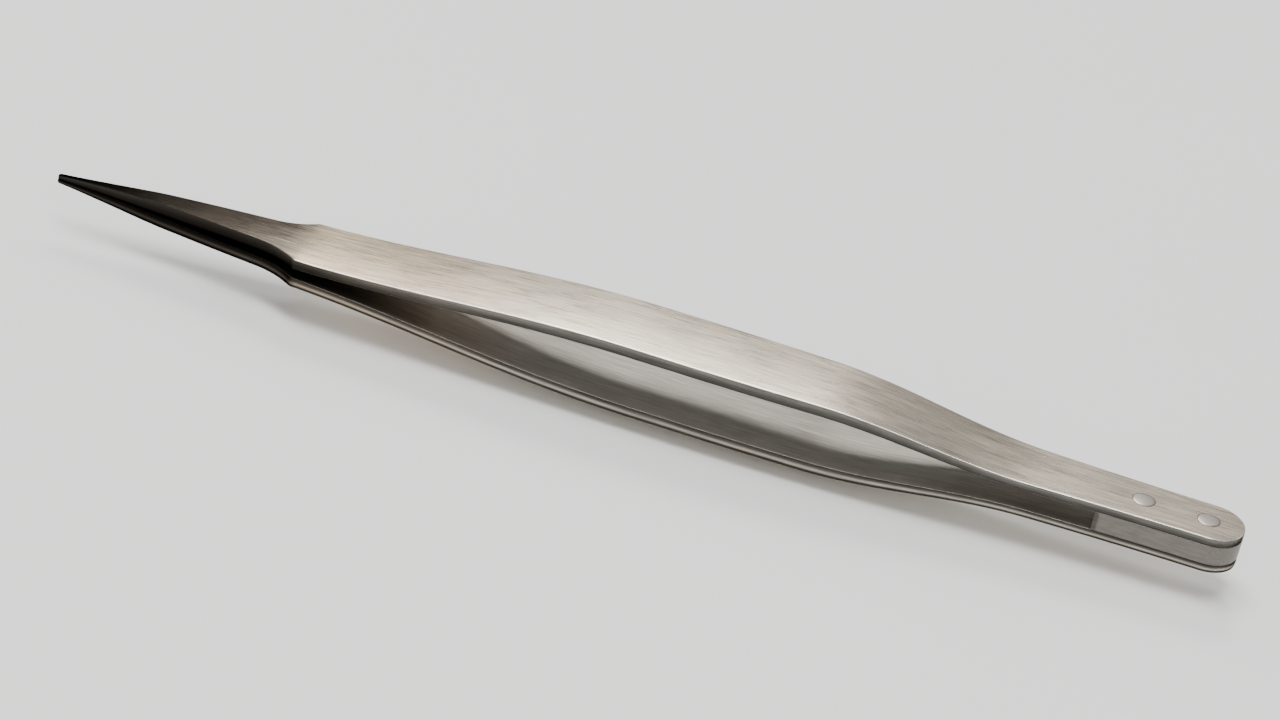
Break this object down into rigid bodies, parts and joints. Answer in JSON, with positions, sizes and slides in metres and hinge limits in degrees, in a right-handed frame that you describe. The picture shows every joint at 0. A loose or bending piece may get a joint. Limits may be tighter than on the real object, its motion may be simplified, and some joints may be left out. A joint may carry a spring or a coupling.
{
  "type": "watchmaker's tweezers",
  "caption": "Fine-pointed steel tweezers for watch work: slender tips, shouldered and bowed spring arms, riveted over a spacer at the tail, opening and closing together.",
  "frame": {"origin": "middle of the tool's length and width, at the height of the flat crown of the lower arm, on which the tool rests", "axes": "+X along the tool, from the tips towards the tail; +Y across the arms' width; +Z the way the upper arm opens"},
  "size_m": [0.12, 0.0096, 0.0077],
  "materials": {
    "arm_steel": "brushed lengthwise, darker and smoother towards the tips",
    "spacer_steel": "satin",
    "rivet_steel": "ground flush"
  },
  "bodies": {
    "tail": {"upper_arm_heel": "arm_steel", "lower_arm_heel": "arm_steel", "tail_spacer": "spacer_steel", "tail_rivet_front": "rivet_steel", "tail_rivet_rear": "rivet_steel"},
    "upper_arm": {"upper_arm_blade": "arm_steel"},
    "lower_arm": {"lower_arm_blade": "arm_steel"}
  },
  "joints": [
    {"name": "upper_arm_flex", "type": "hinge", "parent": "tail", "child": "upper_arm", "pos_m": [0.041, 0, 0.00529], "axis": [0, 1, 0], "range_deg": [0, 2], "stiffness_Nm_per_rad": 2, "springref_deg": 2},
    {"name": "lower_arm_flex", "type": "hinge", "parent": "tail", "child": "lower_arm", "pos_m": [0.041, 0, 0.00239], "axis": [0, -1, 0], "range_deg": [0, 2], "stiffness_Nm_per_rad": 2, "springref_deg": 2}
  ],
  "couplings": [
    {"joint": "lower_arm_flex", "follows": "upper_arm_flex", "ratio": 1}
  ]
}
